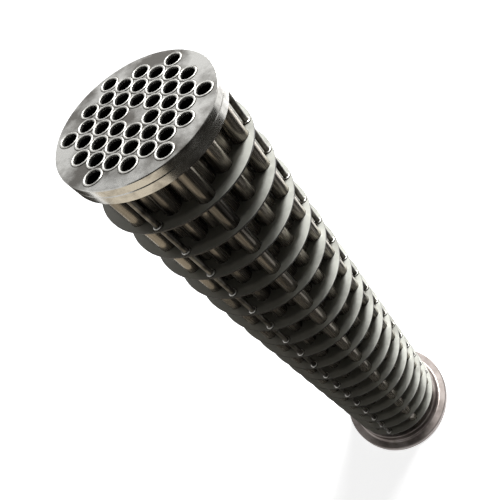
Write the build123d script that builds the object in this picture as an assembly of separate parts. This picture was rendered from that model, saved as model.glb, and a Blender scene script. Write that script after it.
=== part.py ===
from build123d import *

import math
import os

# Tube bundle of a shell-and-tube oil cooler, out of its shell and stood on its rear flange.
# Millimetres. Z runs up from the rear plate to the front plate, X along the rows of tubes.

# Tubes, on a triangular pattern whose centre place stays blank, flush with both plates
OUTER_TUBE_STEPS = (2, 2)
TUBE_OD = 12.0
TUBE_WALL = 1.0
TUBE_GAP = 1.0
TUBE_FIT = 0.05

# Weld bead that seals each tube end to its plate
BEAD_H = 0.6
BEAD_INSET = 0.1
BEAD_GAP = 0.2

# Tie rods on the circle that just holds the tubes, with angles from +X
ROD_ANGLES = (-70.0, 43.7, 166.9)
ROD_D = 4.0
ROD_SEAT = 5.0
ROD_TIP_GAP = 0.2
ROD_FIT = 0.05
ROD_LIP = 2.0
ROD_TUBE_GAP = 1.0

# Weld ring round each rod on top of each baffle
ROD_WELD_W = 1.5
ROD_WELD_H = 1.2

# Baffles, thin round plates threaded on the tubes and welded to the tie rods
BAFFLES = 17
BAFFLE_T = 1.2
BAFFLE_ROOM = 0.2

# Clear distances between the plates
REAR_BAY = 14.5
BAY = 28.1
FRONT_BAY = 28.9

# Front plate, with a groove turned round its rim
FRONT_T = 12.5
FRONT_ROOM = 0.8
FRONT_CHAMFER = 0.5
GROOVE_DROP = 5.8
GROOVE_W = 0.9
GROOVE_DEPTH = 0.45

# Rear plate, a hub that fills the shell's bore, with a register that sits in the ring flange
HUB_H = 11.7
HUB_CHAMFER = 0.6
REGISTER_STEP = 2.0
REGISTER_FIT = 0.05
RECESS_ROOM = 0.6

# Ring flange that is clamped to the shell, and the weld ring in its top that joins it to the hub
FLANGE_T = 9.0
FLANGE_LIP = 11.0
FLANGE_CHAMFER = 1.0
WELD_LEG = 3.2
WELD_SEAT = 0.5
WELD_FIT = 0.05

# Worked out from the sizes above
PITCH = TUBE_OD + TUBE_GAP
ROW_STEP = PITCH * math.sin(math.radians(60))
TUBE_R = TUBE_OD / 2
BORE_R = TUBE_R - TUBE_WALL
BEAD_IN = BORE_R + BEAD_INSET
BEAD_OUT = (PITCH - BEAD_GAP) / 2
ROD_R = ROD_D / 2


def steps_squared(a, b):
    """Squared distance from the centre, in pitches, of the place a and b steps out."""
    return a * a + a * b + b * b


def place(a, b):
    """X and Y of the place that lies a steps along a row and b steps along a slanted row."""
    return ((a + b / 2) * PITCH, b * ROW_STEP)


REACH = steps_squared(*OUTER_TUBE_STEPS)
FIELD_R = math.sqrt(REACH) * PITCH + TUBE_R
RODS = [(FIELD_R * math.cos(math.radians(t)), FIELD_R * math.sin(math.radians(t))) for t in ROD_ANGLES]


def tube_rows():
    """Rows of tube centres from -Y to +Y, without the blank centre and places too near a rod."""
    near = TUBE_R + ROD_TUBE_GAP + ROD_R
    rows = []
    for b in range(-REACH, REACH + 1):
        inside = [place(a, b) for a in range(-REACH, REACH + 1) if 0 < steps_squared(a, b) <= REACH]
        row = [centre for centre in inside if min(math.dist(centre, rod) for rod in RODS) >= near]
        if row:
            rows.append(row)
    return rows


ROWS = tube_rows()
TUBES = [centre for row in ROWS for centre in row]

BAFFLE_R = FIELD_R + ROD_R + ROD_LIP
FRONT_R = BAFFLE_R - FRONT_ROOM
HUB_R = BAFFLE_R
FLANGE_R = HUB_R + FLANGE_LIP
REGISTER_R = HUB_R - REGISTER_STEP
RING_R = REGISTER_R + REGISTER_FIT
WELD_R = HUB_R + WELD_LEG
WELD_Z = FLANGE_T - WELD_SEAT

RECESS = BEAD_H + RECESS_ROOM
HUB_Z = FLANGE_T + HUB_H
BAFFLE_Z = [HUB_Z + REAR_BAY + k * (BAFFLE_T + BAY) for k in range(BAFFLES)]
FRONT_Z = BAFFLE_Z[-1] + BAFFLE_T + FRONT_BAY
FACE_Z = FRONT_Z + FRONT_T


def turned(*outline):
    """Solid turned about Z from the lines and arcs of a closed outline in the XZ plane."""
    return revolve(make_face(Curve() + list(outline)), Axis.Z)


def line(*points):
    """Straight runs through points given as radius and height."""
    return Polyline(*[(r, 0, z) for r, z in points])


def pillars(centres, radius, low, high):
    """Round bars on the given centres, from one height to another."""
    bar = Cylinder(radius, high - low, align=(Align.CENTER, Align.CENTER, Align.MIN))
    return [Pos(x, y, low) * bar for x, y in centres]


def tube(x, y):
    """Straight tube, flush with the front face and with the floor of the rear recess."""
    ring = Circle(TUBE_R) - Circle(BORE_R)
    return Pos(x, y, RECESS) * extrude(ring, FACE_Z - RECESS)


def beads(face, out):
    """Rounded bead over every tube end of a plate, on the side that out gives as +1 or -1."""
    inner = (BEAD_IN, 0, face)
    crown = ((BEAD_IN + BEAD_OUT) / 2, 0, face + out * BEAD_H)
    outer = (BEAD_OUT, 0, face)
    ring = turned(Line(inner, outer), ThreePointArc(outer, crown, inner))
    return [Pos(x, y, 0) * ring for x, y in TUBES]


def rod_welds(x, y):
    """Rings round one rod, one on top of each baffle, that fall away from the rod to the baffle."""
    inner = ROD_R + ROD_FIT
    outer = inner + ROD_WELD_W
    middle = math.sin(math.radians(45))
    ring = turned(
        line((inner, ROD_WELD_H), (inner, 0), (outer, 0)),
        ThreePointArc(
            (outer, 0, 0),
            (inner + ROD_WELD_W * middle, 0, ROD_WELD_H * middle),
            (inner, 0, ROD_WELD_H),
        ),
    )
    return [Pos(x, y, z + BAFFLE_T) * ring for z in BAFFLE_Z]


def front_plate():
    """Thick disc with a grooved rim, drilled for the tubes, with blind seats for the rods."""
    groove_z = FACE_Z - GROOVE_DROP
    disc = turned(line(
        (0, FRONT_Z),
        (FRONT_R - FRONT_CHAMFER, FRONT_Z),
        (FRONT_R, FRONT_Z + FRONT_CHAMFER),
        (FRONT_R, groove_z - GROOVE_W / 2),
        (FRONT_R - GROOVE_DEPTH, groove_z),
        (FRONT_R, groove_z + GROOVE_W / 2),
        (FRONT_R, FACE_Z - FRONT_CHAMFER),
        (FRONT_R - FRONT_CHAMFER, FACE_Z),
        (0, FACE_Z),
        (0, FRONT_Z),
    ))
    disc -= pillars(TUBES, TUBE_R + TUBE_FIT, FRONT_Z, FACE_Z)
    return disc - pillars(RODS, ROD_R + ROD_FIT, FRONT_Z, FRONT_Z + ROD_SEAT)


def rear_plate():
    """Thick disc drilled like the front one, with a narrower register on its rear side."""
    disc = turned(line(
        (0, RECESS),
        (REGISTER_R, RECESS),
        (REGISTER_R, FLANGE_T + WELD_LEG),
        (HUB_R, FLANGE_T + WELD_LEG),
        (HUB_R, HUB_Z - HUB_CHAMFER),
        (HUB_R - HUB_CHAMFER, HUB_Z),
        (0, HUB_Z),
        (0, RECESS),
    ))
    disc -= pillars(TUBES, TUBE_R + TUBE_FIT, RECESS, HUB_Z)
    return disc - pillars(RODS, ROD_R + ROD_FIT, HUB_Z - ROD_SEAT, HUB_Z)


def flange():
    """Ring round the register, deeper than it, so that the rear tube ends lie in a shallow recess."""
    return turned(line(
        (RING_R, 0),
        (FLANGE_R - FLANGE_CHAMFER, 0),
        (FLANGE_R, FLANGE_CHAMFER),
        (FLANGE_R, FLANGE_T - FLANGE_CHAMFER),
        (FLANGE_R - FLANGE_CHAMFER, FLANGE_T),
        (WELD_R + WELD_FIT, FLANGE_T),
        (WELD_R + WELD_FIT, WELD_Z),
        (RING_R, WELD_Z),
        (RING_R, 0),
    ))


def flange_weld():
    """Weld ring let into the flange under the hub's edge, dressed to a hollow curve between them."""
    top = FLANGE_T + WELD_LEG
    hollow = WELD_LEG * (1 - math.sin(math.radians(45)))
    return turned(
        line((HUB_R, top), (RING_R, top), (RING_R, WELD_Z), (WELD_R, WELD_Z), (WELD_R, FLANGE_T)),
        ThreePointArc(
            (WELD_R, 0, FLANGE_T),
            (HUB_R + hollow, 0, FLANGE_T + hollow),
            (HUB_R, 0, top),
        ),
    )


def baffle(z):
    """Thin disc drilled for the tubes and the rods, and open in the blank centre place."""
    hole = Circle(TUBE_R + BAFFLE_ROOM)
    rod_hole = Circle(ROD_R + BAFFLE_ROOM)
    disc = Circle(BAFFLE_R) - [Pos(x, y) * hole for x, y in TUBES + [(0, 0)]]
    disc -= [Pos(x, y) * rod_hole for x, y in RODS]
    return Pos(0, 0, z) * extrude(disc, BAFFLE_T)


def tie_rod(x, y):
    """Plain rod that ends in a blind seat of each plate."""
    low = HUB_Z - ROD_SEAT + ROD_TIP_GAP
    return pillars([(x, y)], ROD_R, low, FRONT_Z + ROD_SEAT - ROD_TIP_GAP)[0]


def solids_of(pieces):
    """All solids of the given pieces as one group."""
    return Compound([solid for piece in pieces for solid in piece.solids()])


def main():
    """Write every piece, or group of like pieces, to its own file."""
    os.makedirs("parts", exist_ok=True)
    nodes = {
        "front_tube_plate": [front_plate()],
        "rear_tube_plate": [rear_plate()],
        "rear_flange": [flange()],
        "flange_weld": [flange_weld()],
        "front_tube_welds": beads(FACE_Z, 1),
        "rear_tube_welds": beads(RECESS, -1),
    }
    for k, z in enumerate(BAFFLE_Z, 1):
        nodes[f"baffle_{k:02d}"] = [baffle(z)]
    for k, row in enumerate(ROWS, 1):
        nodes[f"tube_row_{k}"] = [tube(x, y) for x, y in row]
    for k, (x, y) in enumerate(RODS, 1):
        nodes[f"tie_rod_{k}"] = [tie_rod(x, y)]
        nodes[f"welds_on_rod_{k}"] = rod_welds(x, y)
    for name, pieces in nodes.items():
        export_step(solids_of(pieces), f"parts/{name}.step")


main()
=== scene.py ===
import math

import bmesh
import bpy
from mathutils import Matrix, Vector


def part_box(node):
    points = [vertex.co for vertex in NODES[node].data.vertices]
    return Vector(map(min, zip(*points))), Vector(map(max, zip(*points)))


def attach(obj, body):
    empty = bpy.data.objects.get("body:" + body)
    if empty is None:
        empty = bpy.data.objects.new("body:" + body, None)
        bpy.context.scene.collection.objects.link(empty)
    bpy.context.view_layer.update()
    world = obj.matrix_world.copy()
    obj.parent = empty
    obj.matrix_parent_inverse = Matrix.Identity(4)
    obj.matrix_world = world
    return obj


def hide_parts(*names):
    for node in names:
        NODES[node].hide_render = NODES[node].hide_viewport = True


bl_info = {
    "name": "Oil cooler core",
    "version": (1, 0, 0),
    "blender": (4, 5, 0),
    "location": "View3D > Sidebar > Cooler",
    "description": "Finishes of a shell-and-tube oil cooler's tube bundle, with its welds and studio",
    "category": "Object",
}

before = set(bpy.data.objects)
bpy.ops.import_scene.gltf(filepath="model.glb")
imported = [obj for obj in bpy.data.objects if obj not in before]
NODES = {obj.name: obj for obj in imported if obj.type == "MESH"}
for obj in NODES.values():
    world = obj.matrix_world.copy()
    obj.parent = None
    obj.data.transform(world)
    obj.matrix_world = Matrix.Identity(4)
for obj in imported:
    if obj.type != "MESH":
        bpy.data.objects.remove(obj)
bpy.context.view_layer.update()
MM = 0.001
BODY = "root"

FRONT_LOW, FRONT_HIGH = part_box("front_tube_plate")
REAR_NAMES = ["rear_tube_plate", "rear_flange", "flange_weld"]
BAFFLE_NAMES = sorted(name for name in NODES if name.startswith("baffle_"))
ROW_NAMES = sorted(name for name in NODES if name.startswith("tube_row_"))
ROD_NAMES = sorted(name for name in NODES if name.startswith("tie_rod_"))
ROD_WELD_NAMES = sorted(name for name in NODES if name.startswith("welds_on_rod_"))

# Cards: name, colour, start and end angle in degrees, inner and outer radius, and their two heights
CARDS = (
    ("dark_floor_card", "#3A3834", (-47, 58), (0.075, 2.5), (0.001, 0.001)),
    ("dark_near_card", "#3A3733", (-150, -47), (0.075, 0.45), (0.001, 0.001)),
    ("warm_floor_card", "#F2E6D2", (-140, -47), (0.45, 2.5), (0.001, 0.001)),
    ("dark_side_card", "#4A4742", (-205, -150), (0.075, 2.5), (0.001, 0.001)),
    ("bright_strip_card", "#FFFFFF", (-4, 24), (0.08, 0.6), (0.002, 0.002)),
    ("dark_ceiling_card", "#3A3935", (-100, 50), (0.8, 2.5), (2.4, 0.9)),
    ("dark_high_card", "#2E2D2A", (156, 215), (0.3, 1.3), (2.2, 1.5)),
)

# Lamps: name, angle in degrees, distance and height, width and height of the panel, and watts
LAMPS = (
    ("key", 88, 1.0, 2.0, (0.5, 0.5), 40),
    ("side_panel", 95, 0.8, 0.5, (0.4, 0.7), 8),
)


def tube_centres():
    """X and Y of every tube, and their pitch, read from the boxes of the evenly spaced rows."""
    boxes = [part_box(name) for name in ROW_NAMES]
    radius = (boxes[0][1].x - boxes[0][0].x) / 2
    row_step = boxes[1][0].y - boxes[0][0].y
    pitch = abs(row_step) / math.sin(math.radians(60))
    centres = []
    for low, high in boxes:
        y = (low.y + high.y) / 2
        span = high.x - low.x - 2 * radius
        for k in range(round(span / pitch) + 1):
            centre = Vector((low.x + radius + k * pitch, y))
            if centre.length > pitch / 2:
                centres.append(centre)
    return centres, pitch


TUBES, PITCH = tube_centres()
BAFFLE_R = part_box(BAFFLE_NAMES[0])[1].x
STEPS_PER_RIPPLE = 3


class CoolerSizes(bpy.types.PropertyGroup):
    """Sizes of the detail that the finishes and the welds add."""

    bead_width: bpy.props.FloatProperty(
        name="Bead width", description="Of the weld bead round a tube end",
        default=1.3 * MM, unit="LENGTH", precision=5)
    bead_height: bpy.props.FloatProperty(
        name="Bead height", description="How far a weld bead stands up from its plate",
        default=0.6 * MM, unit="LENGTH", precision=5)
    bead_foot: bpy.props.FloatProperty(
        name="Bead foot", description="Height at which a weld bead runs out into its burnt ring",
        default=0.06 * MM, unit="LENGTH", precision=5)
    bead_gap: bpy.props.FloatProperty(
        name="Bead gap", description="Between the weld beads of two neighbouring tubes",
        default=0.2 * MM, unit="LENGTH", precision=5)
    scorch_width: bpy.props.FloatProperty(
        name="Scorch width", description="Burnt ring on the plate round the foot of a bead",
        default=0.4 * MM, unit="LENGTH", precision=5)
    bead_ripples: bpy.props.IntProperty(
        name="Bead ripples", description="Ripples that the weld leaves in one turn round a tube",
        default=14, min=6)
    fillet_width: bpy.props.FloatProperty(
        name="Fillet width", description="How far the weld on a baffle spreads from its rod",
        default=1.5 * MM, unit="LENGTH", precision=5)
    fillet_height: bpy.props.FloatProperty(
        name="Fillet height", description="How far the weld on a baffle climbs its rod",
        default=1.2 * MM, unit="LENGTH", precision=5)
    fillet_gap: bpy.props.FloatProperty(
        name="Fillet gap", description="Between a rod and the weld round it",
        default=0.05 * MM, unit="LENGTH", precision=5)
    fillet_lumps: bpy.props.IntProperty(
        name="Fillet lumps", description="Lumps that the weld has in one turn round a rod",
        default=6, min=3)
    # Painted highlight: depth of the bright band painted on the top of each bore wall
    painted_highlight_depth: bpy.props.FloatProperty(
        name="Lit bore", description="Depth to which a bore's mouth was cleaned bright for welding",
        default=1.8 * MM, unit="LENGTH", precision=5)
    lathe_step: bpy.props.FloatProperty(
        name="Lathe step", description="Distance between the turning marks that show on the plates",
        default=1.1 * MM, unit="LENGTH", precision=5)
    scratch_step: bpy.props.FloatProperty(
        name="Scratch step", description="Distance between hand-sanding scratches on the front plate",
        default=0.7 * MM, unit="LENGTH", precision=5)
    draw_line_step: bpy.props.FloatProperty(
        name="Draw line step", description="Width of the lines that drawing leaves along a tube",
        default=1.2 * MM, unit="LENGTH", precision=5)
    roll_grain: bpy.props.FloatProperty(
        name="Roll grain", description="Width of the rolling grain in the baffles' sheet",
        default=0.9 * MM, unit="LENGTH", precision=5)
    # Painted shade: the baffles are painted dark inside this band at the rim
    shade_free_lip: bpy.props.FloatProperty(
        name="Wiped lip", description="Width of the clean edge of a baffle, outside its oily middle",
        default=6.5 * MM, unit="LENGTH", precision=5)
    sheared_edge: bpy.props.FloatProperty(
        name="Sheared edge", description="Depth of the dark edge that the shears left round a baffle",
        default=0.12 * MM, unit="LENGTH", precision=5)


class CoolerColours(bpy.types.PropertyGroup):
    """Colours of the steels, as sRGB hex values."""

    plate: bpy.props.StringProperty(
        name="Plate", description="Turned and sanded steel of the front tube plate",
        default="#D0CFCB")
    plate_stain: bpy.props.StringProperty(
        name="Plate stain", description="Darker steel where handling and oil have dulled the plate",
        default="#6C6964")
    rear: bpy.props.StringProperty(
        name="Rear", description="Turned steel of the hub and the flange, a little warmer",
        default="#9A928E")
    rear_stain: bpy.props.StringProperty(
        name="Rear stain", description="Oil haze on the hub and the flange", default="#736B67")
    tube: bpy.props.StringProperty(
        name="Tube", description="Drawn steel tube with an oily brown skin", default="#958E83")
    tube_stain: bpy.props.StringProperty(
        name="Tube stain", description="Darker brown where the oil skin is thicker",
        default="#2A2621")
    # Painted shade: the dark colour put on the tube walls down the bores, where shade falls
    painted_bore_shade: bpy.props.StringProperty(
        name="Tube bore", description="Soot and oil in the bore, inside the front plate",
        default="#1C1A17")
    baffle: bpy.props.StringProperty(
        name="Baffle", description="Matt rolled steel sheet of the baffles", default="#C9CAC2")
    baffle_stain: bpy.props.StringProperty(
        name="Baffle stain", description="Greyer patches of the rolled sheet", default="#A5A59E")
    # Painted shade: the lip's colour on the side away from the light
    baffle_shaded_lip: bpy.props.StringProperty(
        name="Baffle haze", description="Lip on the side where oil stays", default="#97958C")
    # Painted shade: the dark colour of the baffles' middle, between the tubes, where shade falls
    baffle_painted_shade: bpy.props.StringProperty(
        name="Baffle oil", description="Sheet under the brown oil between the tubes",
        default="#6E6C64")
    baffle_edge: bpy.props.StringProperty(
        name="Baffle edge", description="Sheared edge of the sheet", default="#35332F")
    rod: bpy.props.StringProperty(
        name="Rod", description="Plain steel bar of the tie rods", default="#7A766E")
    weld: bpy.props.StringProperty(
        name="Weld", description="Bright metal of the welds", default="#D2D1CC")
    scorch: bpy.props.StringProperty(
        name="Scorch", description="Burnt edge at the foot of a weld", default="#4A4640")


class CoolerStudio(bpy.types.PropertyGroup):
    """The floor, the lights and the camera."""

    floor_size: bpy.props.FloatProperty(
        name="Floor size", description="Side of the square floor", default=12.0, unit="LENGTH")
    paper: bpy.props.StringProperty(
        name="Paper", description="Colour of the floor's white paper", default="#E6E6E6")
    glow: bpy.props.FloatProperty(
        name="Glow", description="Light that the floor adds to itself as a background", default=0.8)
    shade: bpy.props.FloatProperty(
        name="Shade", description="Level of the room's light on surfaces, where 1 is white",
        default=0.12)
    lamp_aim: bpy.props.FloatProperty(
        name="Lamp aim", description="Height on the object's axis that the lamps face",
        default=0.3, unit="LENGTH")
    focal_length: bpy.props.FloatProperty(
        name="Focal length", description="Of a camera with a 36 mm sensor", default=42.288,
        unit="CAMERA")
    camera_place: bpy.props.FloatVectorProperty(
        name="Camera place", description="From the middle of the rear plate's rear face",
        default=(0.28272, -0.15168, 0.73686), subtype="TRANSLATION")
    camera_turn: bpy.props.FloatVectorProperty(
        name="Camera turn", description="Rotation about X, Y and Z",
        default=(math.radians(33.2418), math.radians(18.6371), math.radians(21.726)),
        subtype="EULER")
    camera_shift: bpy.props.FloatVectorProperty(
        name="Camera shift", description="The object stands left of and above a wider view's middle",
        default=(-0.235, -0.027), size=2)


def srgb(value):
    """Linear RGBA of an sRGB hex colour."""
    channels = [int(value[k:k + 2], 16) / 255 for k in (1, 3, 5)]
    return [c / 12.92 if c <= 0.04045 else ((c + 0.055) / 1.055) ** 2.4 for c in channels] + [1.0]


def add_node(tree, kind, inputs=None, **settings):
    """Adds a node, sets its properties, and feeds its inputs with other sockets or fixed values."""
    node = tree.nodes.new(kind)
    for name, value in settings.items():
        setattr(node, name, value)
    for name, value in (inputs or {}).items():
        if isinstance(value, bpy.types.NodeSocket):
            tree.links.new(value, node.inputs[name])
        else:
            node.inputs[name].default_value = value
    return node


def maths(tree, operation, *values):
    """Result of a maths node on sockets or numbers."""
    return add_node(tree, "ShaderNodeMath", dict(enumerate(values)), operation=operation).outputs[0]


def emptied(owner):
    """Node tree of a new material or world, with nothing in it."""
    owner.use_nodes = True
    owner.node_tree.nodes.clear()
    return owner.node_tree


def new_metal(name, metallic=1.0, roughness=0.3):
    """Node material with a Principled shader, and the object coordinates for its patterns."""
    material = bpy.data.materials.new(name)
    tree = emptied(material)
    shader = add_node(
        tree, "ShaderNodeBsdfPrincipled", {"Metallic": metallic, "Roughness": roughness})
    add_node(tree, "ShaderNodeOutputMaterial", {"Surface": shader.outputs["BSDF"]})
    place = add_node(tree, "ShaderNodeTexCoord").outputs["Object"]
    return material, tree, shader, place


def noise(tree, place, size=1.0, detail=3.0, roughness=0.6):
    """Cloudy pattern from 0 to 1, with features of about the given size."""
    node = add_node(
        tree, "ShaderNodeTexNoise",
        {"Vector": place, "Scale": 1 / size, "Detail": detail, "Roughness": roughness})
    return node.outputs["Fac"]


def stretched(tree, place, steps, turn=0.0):
    """Coordinates counted in steps of a length each along X, Y and Z, and then turned about Z."""
    scale = [1 / step for step in steps]
    node = add_node(
        tree, "ShaderNodeMapping", {"Vector": place, "Scale": scale, "Rotation": (0, 0, turn)})
    return node.outputs["Vector"]


def stained_colour(tree, place, clean, stain, size, low=0.42, high=0.66):
    """Clean colour with soft-edged stains of about the given size."""
    cloud = noise(tree, place, size, detail=5.0)
    ramp = add_node(tree, "ShaderNodeValToRGB", {"Fac": cloud})
    for element, position, colour in zip(ramp.color_ramp.elements, (low, high), (clean, stain)):
        element.position = position
        element.color = srgb(colour)
    return ramp.outputs["Color"]


def ranged(tree, value, low, high, source_low=0.3, source_high=0.7):
    """A value that runs from one source to the other, changed to run from low to high."""
    limits = {"From Min": source_low, "From Max": source_high, "To Min": low, "To Max": high}
    return add_node(tree, "ShaderNodeMapRange", {"Value": value, **limits}).outputs["Result"]


def step_up(tree, value, start, end):
    """0 below the start and 1 above the end."""
    return ranged(tree, value, 0.0, 1.0, start, end)


def height_of(tree, place):
    """How far a point lies above the rear face."""
    return add_node(tree, "ShaderNodeSeparateXYZ", {0: place}).outputs["Z"]


def distance_from_axis(tree, place):
    """How far a point lies from the bundle's axis."""
    flat = add_node(tree, "ShaderNodeVectorMath", {0: place, 1: (1, 1, 0)}, operation="MULTIPLY")
    length = add_node(tree, "ShaderNodeVectorMath", {0: flat.outputs[0]}, operation="LENGTH")
    return length.outputs["Value"]


def mixed(tree, factor, first, second):
    """Colour that goes from the first to the second, each one a socket or a fixed colour."""
    inputs = {"Factor": factor, 6: first, 7: second}
    return add_node(tree, "ShaderNodeMix", inputs, data_type="RGBA").outputs[2]


def add_bump(tree, shader, height, depth, strength, under=None):
    """Gives a shader the relief of a 0 to 1 height, on top of another relief if there is one."""
    inputs = {"Height": height, "Distance": depth, "Strength": strength}
    if under is not None:
        inputs["Normal"] = under
    bump = add_node(tree, "ShaderNodeBump", inputs)
    tree.links.new(bump.outputs["Normal"], shader.inputs["Normal"])
    return bump.outputs["Normal"]


def plate_steel(sizes, name, clean, stain, dullness):
    """Turned mild steel, dull in patches: rings from the lathe, and sanding scratches in front."""
    material, tree, shader, place = new_metal(name)
    colour = stained_colour(tree, place, clean, stain, 30 * MM, 0.42, 0.62)
    tree.links.new(colour, shader.inputs["Base Color"])

    half_step = sizes.lathe_step / 2
    rings = maths(tree, "PINGPONG", distance_from_axis(tree, place), half_step)
    ring_wave = step_up(tree, rings, 0.0, half_step)
    along = stretched(
        tree, place, (30 * MM, sizes.scratch_step, 2 * MM), turn=math.radians(35))
    scratches = noise(tree, along, roughness=0.7)

    # The scratches only show on the front face, which they make duller by up to this much
    most = 0.12
    face_top = FRONT_HIGH.z
    face = ranged(tree, height_of(tree, place), 0.0, most, face_top - 0.3 * MM, face_top - 0.1 * MM)
    roughness = maths(tree, "MULTIPLY_ADD", scratches, face, dullness)
    tree.links.new(roughness, shader.inputs["Roughness"])
    turned = add_bump(tree, shader, ring_wave, 0.05 * MM, 0.03)
    add_bump(tree, shader, scratches, 0.1 * MM, face, under=turned)
    return material


def tube_steel(sizes, colours):
    """Seamless drawn steel tube: lines along it under a brown oil skin; in front, painted shade down
    the bore and a painted highlight on the bore's mouth.
    """
    material, tree, shader, place = new_metal("drawn_tube_steel", metallic=0.8)
    along = stretched(tree, place, (1, 1, 25))
    skin = stained_colour(tree, along, colours.tube, colours.tube_stain, 6 * MM)
    height = height_of(tree, place)
    # Painted shade: from the front plate's rear face upwards the tube takes the dark bore colour
    bore = step_up(tree, height, FRONT_LOW.z, FRONT_LOW.z + 1 * MM)
    # Painted highlight: above this height the tube takes the bright weld colour, standing in for
    # light on the bore's mouth
    painted_highlight_z = FRONT_HIGH.z - sizes.painted_highlight_depth
    mouth = step_up(tree, height, painted_highlight_z, painted_highlight_z + sizes.painted_highlight_depth / 2)
    inside = mixed(tree, bore, skin, srgb(colours.painted_bore_shade))
    colour = mixed(tree, mouth, inside, srgb(colours.weld))
    tree.links.new(colour, shader.inputs["Base Color"])

    lines = stretched(tree, place, (sizes.draw_line_step, sizes.draw_line_step, 60 * MM))
    drawn = noise(tree, lines)
    tree.links.new(ranged(tree, drawn, 0.2, 0.32), shader.inputs["Roughness"])
    add_bump(tree, shader, drawn, 0.08 * MM, 0.05)
    return material


def rod_steel(colours):
    """Plain drawn steel bar: dull grey with darker patches of oil."""
    material, tree, shader, place = new_metal("plain_bar_steel", metallic=0.8, roughness=0.35)
    colour = stained_colour(tree, place, colours.rod, colours.tube_stain, 11 * MM)
    tree.links.new(colour, shader.inputs["Base Color"])
    return material


def baffle_steel(sizes, colours):
    """Matt rolled steel sheet: painted shade in the middle between the tubes, a lip painted lighter
    on its lit side, and a dark sheared edge.
    """
    material, tree, shader, place = new_metal("matt_sheet_steel", metallic=0.3)
    radius = distance_from_axis(tree, place)

    # The painted shade between the tubes reaches out over the lip by up to this much, in a ragged
    # line
    shade_reach = 3 * MM
    shade_edge_noise = noise(tree, place, 7 * MM, detail=2.0, roughness=0.5)
    ragged = maths(tree, "MULTIPLY_ADD", shade_edge_noise, shade_reach, radius)
    lip_start = BAFFLE_R - sizes.shade_free_lip
    beyond_painted_shade = step_up(tree, ragged, lip_start, lip_start + shade_reach)

    # The lip is painted lighter towards the lit side and darker, as painted shade, on the other side
    lit_side_angle = math.radians(40)
    toward_lit_side = add_node(
        tree, "ShaderNodeVectorMath", {0: place, 1: (math.cos(lit_side_angle), math.sin(lit_side_angle), 0)},
        operation="DOT_PRODUCT")
    lit_side = step_up(tree, toward_lit_side.outputs["Value"], 5 * MM, 38 * MM)
    clean = stained_colour(tree, place, colours.baffle, colours.baffle_stain, 26 * MM)
    lip = mixed(tree, lit_side, srgb(colours.baffle_shaded_lip), clean)
    # Painted shade: inside the lip the sheet takes the dark colour, between the tubes
    sheet = mixed(tree, beyond_painted_shade, srgb(colours.baffle_painted_shade), lip)
    edge_start = BAFFLE_R - sizes.sheared_edge
    edge = step_up(tree, radius, edge_start, edge_start + sizes.sheared_edge / 2)
    colour = mixed(tree, edge, sheet, srgb(colours.baffle_edge))
    tree.links.new(colour, shader.inputs["Base Color"])

    rolled = stretched(tree, place, (25 * MM, sizes.roll_grain, 3 * MM))
    grain = noise(tree, rolled)
    tree.links.new(ranged(tree, grain, 0.36, 0.52), shader.inputs["Roughness"])
    add_bump(tree, shader, grain, 0.05 * MM, 0.1)
    return material


def weld_steel(colours):
    """Fresh weld metal: bright and rippled, with a scorched line at its foot."""
    material, tree, shader, place = new_metal("bright_weld_steel", roughness=0.45)
    bright = stained_colour(tree, place, colours.weld, colours.plate_stain, 6 * MM, 0.5, 0.8)
    bead_map = add_node(tree, "ShaderNodeUVMap", uv_map="bead").outputs[0]
    across = add_node(tree, "ShaderNodeSeparateXYZ", {0: bead_map}).outputs["Y"]
    foot = ranged(tree, across, 1.0, 0.0, 0.25, 0.36)
    colour = mixed(tree, foot, bright, srgb(colours.scorch))
    tree.links.new(colour, shader.inputs["Base Color"])
    grit = noise(tree, place, 0.6 * MM, detail=2.0, roughness=0.5)
    add_bump(tree, shader, grit, 0.1 * MM, 0.15)
    return material


def finish_nodes(names, material):
    """Gives CAD nodes a material."""
    for name in names:
        mesh = NODES[name].data
        mesh.materials.clear()
        mesh.materials.append(material)


def new_object(name, bm, material):
    """Object in the scene, made from a finished mesh of one material."""
    mesh = bpy.data.meshes.new(name)
    bm.to_mesh(mesh)
    bm.free()
    mesh.materials.append(material)
    thing = bpy.data.objects.new(name, mesh)
    bpy.context.scene.collection.objects.link(thing)
    return thing


def new_piece(name, bm, material, replaced):
    """Piece of weld metal that rides on the bundle and takes the place of a CAD node."""
    bmesh.ops.recalc_face_normals(bm, faces=bm.faces)
    piece = new_object(name, bm, material)
    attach(piece, BODY)
    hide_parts(replaced)


def add_ring(bm, layer, centre, face, out, section, ripples, depth, start):
    """Weld ring: a section of radii and rises spun about Z, whose rise has a wave round the ring."""
    verts = []
    for radius, rise in section:
        verts.append(bm.verts.new((centre.x + radius, centre.y, face + out * rise)))
    edges = [bm.edges.new(pair) for pair in zip(verts, verts[1:] + verts[:1])]
    before = set(bm.faces)
    bmesh.ops.spin(
        bm, geom=verts + edges, cent=(centre.x, centre.y, face), axis=(0, 0, 1),
        angle=math.tau, steps=STEPS_PER_RIPPLE * ripples, use_merge=True, use_duplicate=False)
    faces = [f for f in bm.faces if f not in before]

    # The ripples ride on a slower wave of three lumps, and each ring starts both at its own turn
    slow = 0.6
    for vert in {v for f in faces for v in f.verts}:
        offset = vert.co.xy - centre
        turn = math.atan2(offset.y, offset.x)
        wave = math.cos(ripples * turn + start) + slow * math.cos(3 * turn + 2.3 * start)
        rise = (vert.co.z - face) * out
        vert.co.z = face + out * rise * (1 - depth + depth * wave / (1 + slow))

    # The map runs round the ring in X, and from its outer foot to its inner one in Y
    inner = min(radius for radius, rise in section)
    outer = max(radius for radius, rise in section)
    for f in faces:
        for loop in f.loops:
            offset = loop.vert.co.xy - centre
            turn = math.atan2(offset.y, offset.x) / math.tau
            loop[layer].uv = (turn % 1.0, (outer - offset.length) / (outer - inner))
        f.smooth = True


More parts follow.
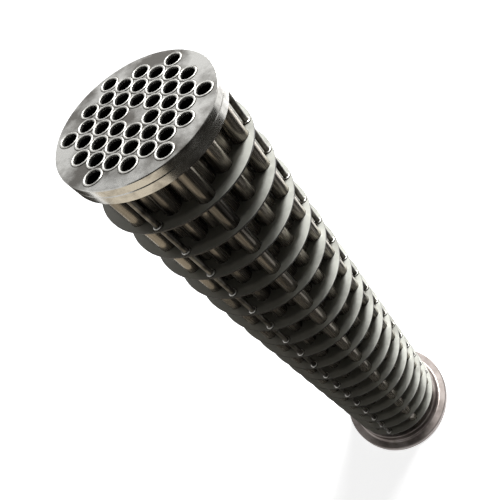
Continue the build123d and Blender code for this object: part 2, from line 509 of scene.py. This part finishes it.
def build_beads(name, face, out, replaced, sizes, material):
    """All the beads of one plate as one piece, each with its ripples turned its own way."""
    outer = (PITCH - sizes.bead_gap) / 2
    half = sizes.bead_width / 2
    middle = outer - half
    arc = 6
    section = [(outer + sizes.scorch_width, 0.0), (outer, sizes.bead_foot)]
    for k in range(1, arc + 1):
        angle = math.pi * k / arc
        section.append((middle + half * math.cos(angle), sizes.bead_height * math.sin(angle)))
    bm = bmesh.new()
    layer = bm.loops.layers.uv.new("bead")
    for k, centre in enumerate(TUBES):
        add_ring(
            bm, layer, centre, face, out, section, sizes.bead_ripples, depth=0.12, start=1.7 * k)
    new_piece(name, bm, material, replaced)


def build_fillets(name, replaced, sizes, material):
    """The welds of one rod: a lumpy fillet round it on top of every baffle."""
    rod_low, rod_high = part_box(replaced.replace("welds_on_rod", "tie_rod"))
    centre = ((rod_low + rod_high) / 2).xy
    inner = (rod_high.x - rod_low.x) / 2 + sizes.fillet_gap
    width, height = sizes.fillet_width, sizes.fillet_height
    arc = 4
    section = [(inner, 0.0), (inner, height)]
    for k in range(1, arc + 1):
        angle = math.pi / 2 * (1 - k / arc)
        section.append((inner + width * math.cos(angle), height * math.sin(angle)))
    bm = bmesh.new()
    layer = bm.loops.layers.uv.new("bead")
    for k, baffle in enumerate(BAFFLE_NAMES):
        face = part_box(baffle)[1].z
        add_ring(
            bm, layer, centre, face, 1, section, sizes.fillet_lumps, depth=0.2, start=2.1 * k)
    new_piece(name, bm, material, replaced)


class COOLER_OT_plates(bpy.types.Operator):
    """Finish the front and the rear tube plate"""

    bl_idname = "cooler.plates"
    bl_label = "Tube plates"

    def execute(self, context):
        sizes, colours = context.scene.cooler_sizes, context.scene.cooler_colours
        front = plate_steel(sizes, "turned_sanded_steel", colours.plate, colours.plate_stain, 0.2)
        finish_nodes(["front_tube_plate"], front)
        rear = plate_steel(sizes, "turned_hazy_steel", colours.rear, colours.rear_stain, 0.36)
        finish_nodes(REAR_NAMES, rear)
        return {"FINISHED"}


class COOLER_OT_tubes(bpy.types.Operator):
    """Finish the tubes and the tie rods"""

    bl_idname = "cooler.tubes"
    bl_label = "Tubes and tie rods"

    def execute(self, context):
        scene = context.scene
        finish_nodes(ROW_NAMES, tube_steel(scene.cooler_sizes, scene.cooler_colours))
        finish_nodes(ROD_NAMES, rod_steel(scene.cooler_colours))
        return {"FINISHED"}


class COOLER_OT_baffles(bpy.types.Operator):
    """Finish the baffles"""

    bl_idname = "cooler.baffles"
    bl_label = "Baffles"

    def execute(self, context):
        scene = context.scene
        finish_nodes(BAFFLE_NAMES, baffle_steel(scene.cooler_sizes, scene.cooler_colours))
        return {"FINISHED"}


class COOLER_OT_welds(bpy.types.Operator):
    """Build the rippled welds round the tube ends and the rods"""

    bl_idname = "cooler.welds"
    bl_label = "Welds"

    def execute(self, context):
        scene = context.scene
        sizes = scene.cooler_sizes
        material = weld_steel(scene.cooler_colours)
        rear_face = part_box("rear_tube_welds")[1].z
        build_beads("front_weld_beads", FRONT_HIGH.z, 1, "front_tube_welds", sizes, material)
        build_beads("rear_weld_beads", rear_face, -1, "rear_tube_welds", sizes, material)
        for k, name in enumerate(ROD_WELD_NAMES, 1):
            build_fillets(f"rod_{k}_weld_fillets", name, sizes, material)
        return {"FINISHED"}


def around(angle, distance, height):
    """Point at an angle in degrees and a distance from the axis, at a height."""
    turn = math.radians(angle)
    return Vector((distance * math.cos(turn), distance * math.sin(turn), height))


def add_lamp(name, angle, distance, height, size, power, aim):
    """Soft white panel, invisible to the camera, that faces the object at a height."""
    data = bpy.data.lights.new(name, "AREA")
    data.shape = "RECTANGLE"
    data.size, data.size_y = size
    data.energy = power
    lamp = bpy.data.objects.new(name, data)
    lamp.location = around(angle, distance, height)
    lamp.rotation_euler = (Vector((0, 0, aim)) - lamp.location).to_track_quat("-Z", "Y").to_euler()
    lamp.visible_camera = False
    bpy.context.scene.collection.objects.link(lamp)


def background_rays(tree):
    """1 for rays that show the background, straight, mirrored or through glass, and 0 for others."""
    path = add_node(tree, "ShaderNodeLightPath").outputs
    mirrored = maths(tree, "MAXIMUM", path["Is Camera Ray"], path["Is Glossy Ray"])
    return maths(tree, "MAXIMUM", mirrored, path["Is Transmission Ray"])


def floor_paper(studio):
    """White paper: takes shadows, and glows so that it stays white as a background."""
    material = bpy.data.materials.new("white_paper_floor")
    tree = emptied(material)
    paper = add_node(tree, "ShaderNodeBsdfDiffuse", {"Color": srgb(studio.paper)})
    strength = maths(tree, "MULTIPLY", background_rays(tree), studio.glow)
    glow = add_node(tree, "ShaderNodeEmission", {"Strength": strength})
    both = add_node(tree, "ShaderNodeAddShader", {0: paper.outputs[0], 1: glow.outputs[0]})
    add_node(tree, "ShaderNodeOutputMaterial", {"Surface": both.outputs[0]})
    return material


def card_paint(name, colour):
    """Evenly lit card of one colour."""
    material = bpy.data.materials.new(name)
    tree = emptied(material)
    glow = add_node(tree, "ShaderNodeEmission", {"Color": srgb(colour)})
    add_node(tree, "ShaderNodeOutputMaterial", {"Surface": glow.outputs[0]})
    return material


def studio_world(shade):
    """Room that is white as a background and gives surfaces a softer, lower light."""
    world = bpy.data.worlds.new("studio")
    tree = emptied(world)
    strength = ranged(tree, background_rays(tree), shade, 1.0, 0.0, 1.0)
    white = add_node(tree, "ShaderNodeBackground", {"Strength": strength, "Color": srgb("#FFFFFF")})
    add_node(tree, "ShaderNodeOutputWorld", {"Surface": white.outputs[0]})
    return world


def add_floor(studio):
    """Square of white paper under the object."""
    bm = bmesh.new()
    bmesh.ops.create_grid(bm, x_segments=1, y_segments=1, size=studio.floor_size / 2)
    new_object("floor", bm, floor_paper(studio))


def add_card(name, colour, turns, reach, heights):
    """Studio card that only shows in the metal: a sector of a flat or sloping ring."""
    low, high = turns
    bm = bmesh.new()
    ends = [bm.verts.new(around(low, radius, z)) for radius, z in zip(reach, heights)]
    edge = bm.edges.new(ends)
    angle = math.radians(high) - math.radians(low)
    bmesh.ops.spin(
        bm, geom=ends + [edge], cent=(0, 0, 0), axis=(0, 0, 1), angle=angle, steps=24)
    card = new_object(name, bm, card_paint(name, colour))
    for kind in ("camera", "diffuse", "transmission", "shadow", "volume_scatter"):
        setattr(card, "visible_" + kind, False)


def add_camera(studio):
    """Camera that was fitted to the photo."""
    data = bpy.data.cameras.new("camera")
    data.sensor_width = 36
    data.lens = studio.focal_length
    data.shift_x, data.shift_y = studio.camera_shift
    data.clip_start = 0.01
    camera = bpy.data.objects.new("camera", data)
    camera.location = studio.camera_place
    camera.rotation_euler = studio.camera_turn
    bpy.context.scene.collection.objects.link(camera)
    bpy.context.scene.camera = camera


class COOLER_OT_studio(bpy.types.Operator):
    """Build the floor, the lights, the cards and the camera"""

    bl_idname = "cooler.studio"
    bl_label = "Studio"

    def execute(self, context):
        scene = context.scene
        studio = scene.cooler_studio
        add_floor(studio)
        scene.world = studio_world(studio.shade)
        for card in CARDS:
            add_card(*card)
        for lamp in LAMPS:
            add_lamp(*lamp, studio.lamp_aim)
        add_camera(studio)
        scene.view_settings.view_transform = "Standard"
        return {"FINISHED"}


class COOLER_PT_panel(bpy.types.Panel):
    """The steps that dress the oil cooler core"""

    bl_idname = "COOLER_PT_panel"
    bl_label = "Oil cooler core"
    bl_space_type = "VIEW_3D"
    bl_region_type = "UI"
    bl_category = "Cooler"

    def draw(self, context):
        for step in OPERATORS:
            self.layout.operator(step.bl_idname)


GROUPS = {
    "cooler_sizes": CoolerSizes,
    "cooler_colours": CoolerColours,
    "cooler_studio": CoolerStudio,
}
OPERATORS = (
    COOLER_OT_studio,
    COOLER_OT_plates,
    COOLER_OT_tubes,
    COOLER_OT_baffles,
    COOLER_OT_welds,
)
CLASSES = (*GROUPS.values(), *OPERATORS, COOLER_PT_panel)


def register():
    """Adds the classes, and the property groups to the scene."""
    for cls in CLASSES:
        bpy.utils.register_class(cls)
    for name, group in GROUPS.items():
        setattr(bpy.types.Scene, name, bpy.props.PointerProperty(type=group))


def unregister():
    """Takes away what register added."""
    for name in GROUPS:
        delattr(bpy.types.Scene, name)
    for cls in reversed(CLASSES):
        bpy.utils.unregister_class(cls)


def main():
    """Builds the whole scene."""
    register()
    bpy.ops.cooler.studio()
    bpy.ops.cooler.plates()
    bpy.ops.cooler.tubes()
    bpy.ops.cooler.baffles()
    bpy.ops.cooler.welds()


if __name__ == "__main__":
    main()
